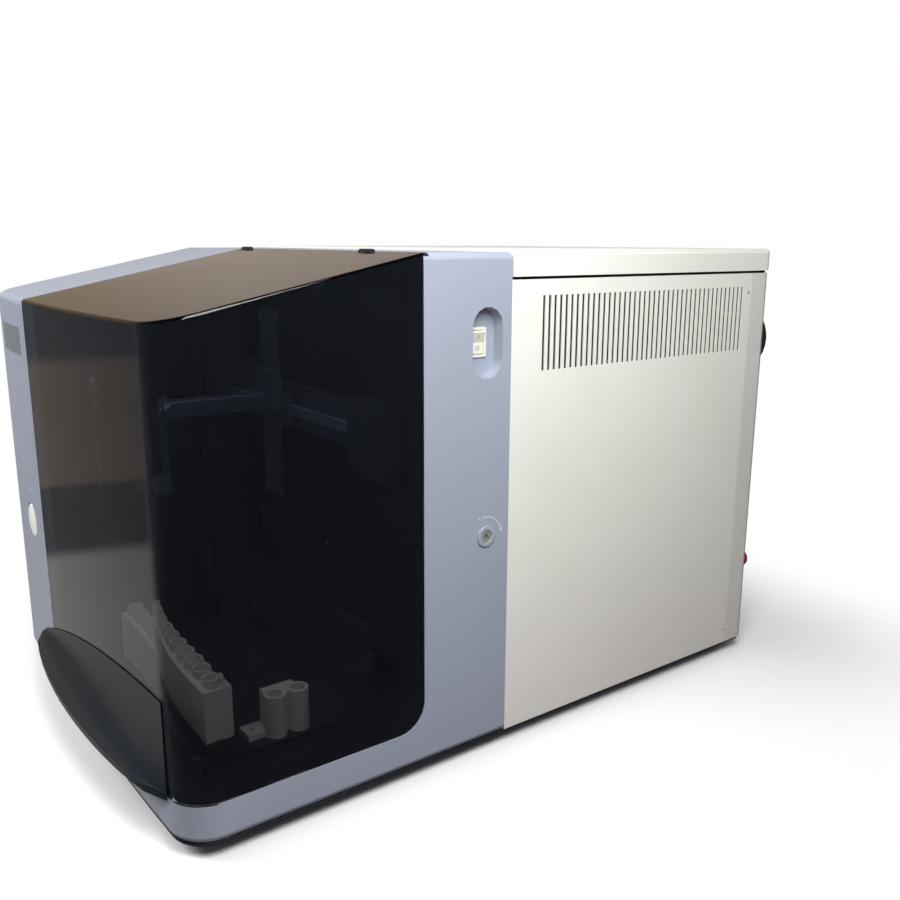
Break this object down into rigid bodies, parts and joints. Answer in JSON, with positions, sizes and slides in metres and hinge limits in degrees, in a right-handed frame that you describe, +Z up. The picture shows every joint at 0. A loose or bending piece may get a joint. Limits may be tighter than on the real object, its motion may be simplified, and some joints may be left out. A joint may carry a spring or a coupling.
{
  "type": "hematology analyzer",
  "caption": "Bench blood-cell analyzer with an automatic tube loader behind a hinged, smoke-tinted cover, vented steel cabinet, recessed rocker switch and rear fan.",
  "frame": {"origin": "on the floor under the middle of the whole analyzer's bounding box", "axes": "+Z up, the bowed front with the loader cover faces -Y, the side with the power switch faces +X"},
  "size_m": [0.5829, 0.8604, 0.5384],
  "materials": {
    "frame_plastic": "fine-textured blue-grey paint",
    "cream_steel": "satin cream powder coat",
    "tinted_cover": "clear smoke-tinted acrylic, polished",
    "cream_plastic": "satin cream moulding",
    "black_plastic": "satin black moulding",
    "dark_steel": "matt dark powder coat",
    "rubber": "matt black rubber",
    "plated_steel": "zinc-plated sheet",
    "aluminium": "clear anodised",
    "lamp": "tinted lens",
    "red_plastic": "glossy red moulding",
    "board_green": "green solder mask"
  },
  "bodies": {
    "analyser": {"base_plate": "dark_steel", "bay_back_plate": "dark_steel", "bay_floor_pan": "dark_steel", "bay_side_liner": "dark_steel", "beam_bracket_left": "dark_steel", "beam_bracket_right": "dark_steel", "bulkhead": "plated_steel", "button_bracket": "plated_steel", "data_port_plate": "plated_steel", "deck_support_front": "plated_steel", "deck_support_rear": "plated_steel", "fan_guard": "plated_steel", "fan_housing": "black_plastic", "fluid_port_block": "black_plastic", "foot_front_left": "rubber", "foot_front_right": "rubber", "foot_rear_left": "rubber", "foot_rear_right": "rubber", "front_frame": "frame_plastic", "hinge_block_left": "black_plastic", "hinge_block_right": "black_plastic", "left_side_panel": "cream_steel", "lid": "cream_steel", "lid_gasket": "rubber", "lock_barrel": "plated_steel", "main_board": "board_green", "optics_bench": "aluminium", "optics_table": "plated_steel", "port_cap": "red_plastic", "power_inlet": "black_plastic", "power_supply": "plated_steel", "probe_tower": "dark_steel", "rack_deck": "dark_steel", "rear_panel": "cream_steel", "right_side_panel": "cream_steel", "status_lamp": "lamp", "switch_housing": "cream_plastic", "tray_wall": "dark_steel", "tube_adapter": "cream_plastic", "vacuum_pump": "dark_steel", "wash_cup": "black_plastic", "x_beam": "aluminium", "x_drive": "black_plastic", "x_rail": "plated_steel"},
    "cover": {"cover_shell": "tinted_cover", "hinge_leaf_left": "black_plastic", "hinge_leaf_right": "black_plastic"},
    "rocker": {"power_rocker": "cream_plastic"},
    "touch_plate": {"touch_button": "cream_plastic"},
    "lock": {"lock_core": "plated_steel"},
    "rack": {"tube_rack": "cream_plastic"},
    "carrier": {"carriage": "aluminium"},
    "lift": {"lift_slide": "aluminium"},
    "gripper": {"gripper_head": "plated_steel"},
    "finger_left": {"gripper_finger_left": "black_plastic"},
    "finger_right": {"gripper_finger_right": "black_plastic"},
    "probe": {"probe_needle": "plated_steel", "probe_slide": "black_plastic"},
    "fan": {"fan_rotor": "black_plastic"}
  },
  "joints": [
    {"name": "cover_lift", "type": "hinge", "parent": "analyser", "child": "cover", "pos_m": [0, -0.14134, 0.5358], "axis": [-1, 0, 0], "range_deg": [0, 75]},
    {"name": "rocker_tip", "type": "hinge", "parent": "analyser", "child": "rocker", "pos_m": [0.2774, -0.06884, 0.4481], "axis": [0, -1, 0], "range_deg": [0, 18]},
    {"name": "touch_plate_press", "type": "slide", "parent": "analyser", "child": "touch_plate", "axis": [0, 1, 0], "range_m": [0, 0.0015], "stiffness_N_per_m": 900},
    {"name": "lock_turn", "type": "hinge", "parent": "analyser", "child": "lock", "pos_m": [0.29, -0.06434, 0.2488], "axis": [1, 0, 0], "range_deg": [0, 90]},
    {"name": "rack_feed", "type": "slide", "parent": "analyser", "child": "rack", "axis": [-1, 0, 0], "range_m": [0, 0.105]},
    {"name": "carrier_travel", "type": "slide", "parent": "analyser", "child": "carrier", "axis": [1, 0, 0], "range_m": [-0.05, 0.08]},
    {"name": "lift_travel", "type": "slide", "parent": "carrier", "child": "lift", "axis": [0, 0, -1], "range_m": [0, 0.085]},
    {"name": "gripper_turn", "type": "hinge", "parent": "lift", "child": "gripper", "pos_m": [0.0875, -0.32034, 0.3778], "axis": [0, 1, 0], "range_deg": [0, 135]},
    {"name": "finger_left_open", "type": "slide", "parent": "gripper", "child": "finger_left", "axis": [-1, 0, 0], "range_m": [0, 0.0025]},
    {"name": "finger_right_open", "type": "slide", "parent": "gripper", "child": "finger_right", "axis": [1, 0, 0], "range_m": [0, 0.0025]},
    {"name": "probe_dip", "type": "slide", "parent": "analyser", "child": "probe", "axis": [0, 0, -1], "range_m": [0, 0.06]},
    {"name": "fan_spin", "type": "hinge", "parent": "analyser", "child": "fan", "pos_m": [0.224, 0.39166, 0.422], "axis": [0, 1, 0], "continuous": true}
  ],
  "couplings": [
    {"joint": "finger_right_open", "follows": "finger_left_open", "ratio": 1}
  ]
}
